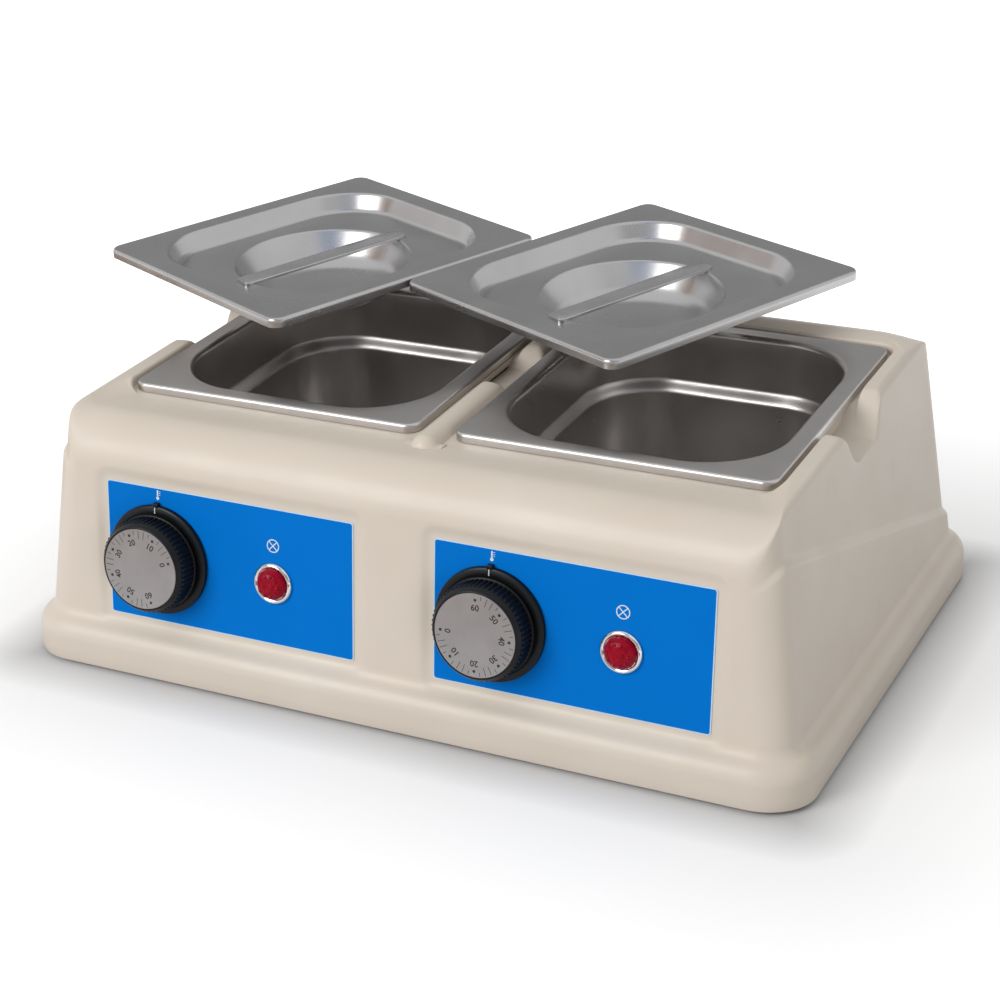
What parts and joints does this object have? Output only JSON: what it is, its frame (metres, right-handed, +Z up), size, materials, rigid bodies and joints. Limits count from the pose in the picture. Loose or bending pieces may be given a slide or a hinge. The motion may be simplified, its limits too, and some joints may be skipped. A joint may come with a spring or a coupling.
{
  "type": "double tank melter",
  "caption": "Benchtop dry-heat melting pot: cream casing with side-by-side lift-out steel pans, recessed lids with strap handles, dial thermostats and pilot lamps.",
  "frame": {"origin": "on the floor, under the middle of the casing's foot", "axes": "+X to the right seen from the controls, +Y to the back, +Z up; the control panel faces -Y"},
  "size_m": [0.4594, 0.3351, 0.171],
  "materials": {
    "casing_plastic": "semi-gloss, warm cream, moulded",
    "base_steel": "plain galvanised sheet",
    "screw_steel": "zinc plated",
    "foot_rubber": "matt",
    "pan_steel": "satin flange, polished edges and insides",
    "handle_steel": "polished strap",
    "label_film": "printed film, plain blue with pale marks",
    "knob_plastic": "satin black, ribbed edge",
    "dial_metal": "satin, with plain dial numbers",
    "shaft_steel": "bright zinc",
    "bulb_copper": "copper tube",
    "lamp_chrome": "mirror",
    "lamp_red": "clear red, cut in facets",
    "lamp_body": "moulded ivory",
    "well_aluminium": "drawn sheet",
    "mat_silicone": "ribbed orange silicone",
    "gland_nylon": "matt black"
  },
  "bodies": {
    "casing": {"body_shell": "casing_plastic", "base_plate": "base_steel", "base_screws": "screw_steel", "foot_front_left": "foot_rubber", "foot_front_right": "foot_rubber", "foot_back_left": "foot_rubber", "foot_back_right": "foot_rubber", "foot_screws": "screw_steel", "control_label_left": "label_film", "control_label_right": "label_film", "dial_bezel_left": "knob_plastic", "dial_bezel_right": "knob_plastic", "thermostat_body_left": "shaft_steel", "thermostat_body_right": "shaft_steel", "thermostat_screws": "screw_steel", "sensing_bulb_left": "bulb_copper", "sensing_bulb_right": "bulb_copper", "lamp_ring_left": "lamp_chrome", "lamp_ring_right": "lamp_chrome", "lamp_lens_left": "lamp_red", "lamp_lens_right": "lamp_red", "lamp_core_left": "lamp_body", "lamp_core_right": "lamp_body", "lamp_nuts": "lamp_chrome", "well_liner_left": "well_aluminium", "well_liner_right": "well_aluminium", "heating_mat_left": "mat_silicone", "heating_mat_right": "mat_silicone", "terminal_block": "lamp_body", "wiring_loom": "gland_nylon", "cable_gland": "gland_nylon", "gland_nut": "gland_nylon"},
    "pan_left": {"pan_left": "pan_steel"},
    "pan_right": {"pan_right": "pan_steel"},
    "lid_left": {"lid_left": "pan_steel", "lid_handle_left": "handle_steel"},
    "lid_right": {"lid_right": "pan_steel", "lid_handle_right": "handle_steel"},
    "knob_left": {"thermostat_knob_left": "knob_plastic", "dial_disc_left": "dial_metal", "thermostat_shaft_left": "shaft_steel"},
    "knob_right": {"thermostat_knob_right": "knob_plastic", "dial_disc_right": "dial_metal", "thermostat_shaft_right": "shaft_steel"}
  },
  "joints": [
    {"name": "pan_left_lift", "type": "slide", "parent": "casing", "child": "pan_left", "axis": [0, 0, 1], "range_m": [0, 0.015]},
    {"name": "pan_right_lift", "type": "slide", "parent": "casing", "child": "pan_right", "axis": [0, 0, 1], "range_m": [0, 0.12]},
    {"name": "lid_left_lift", "type": "slide", "parent": "pan_left", "child": "lid_left", "axis": [0, 0, 1], "range_m": [0, 0.1]},
    {"name": "lid_right_lift", "type": "slide", "parent": "pan_right", "child": "lid_right", "axis": [0, 0, 1], "range_m": [0, 0.1]},
    {"name": "knob_left_turn", "type": "hinge", "parent": "casing", "child": "knob_left", "pos_m": [-0.1281, -0.13365, 0.06311], "axis": [0, 0.9951, -0.0993], "range_deg": [-71, 199]},
    {"name": "knob_right_turn", "type": "hinge", "parent": "casing", "child": "knob_right", "pos_m": [0.0535, -0.13365, 0.06311], "axis": [0, 0.9951, -0.0993], "range_deg": [-270, 0]}
  ]
}
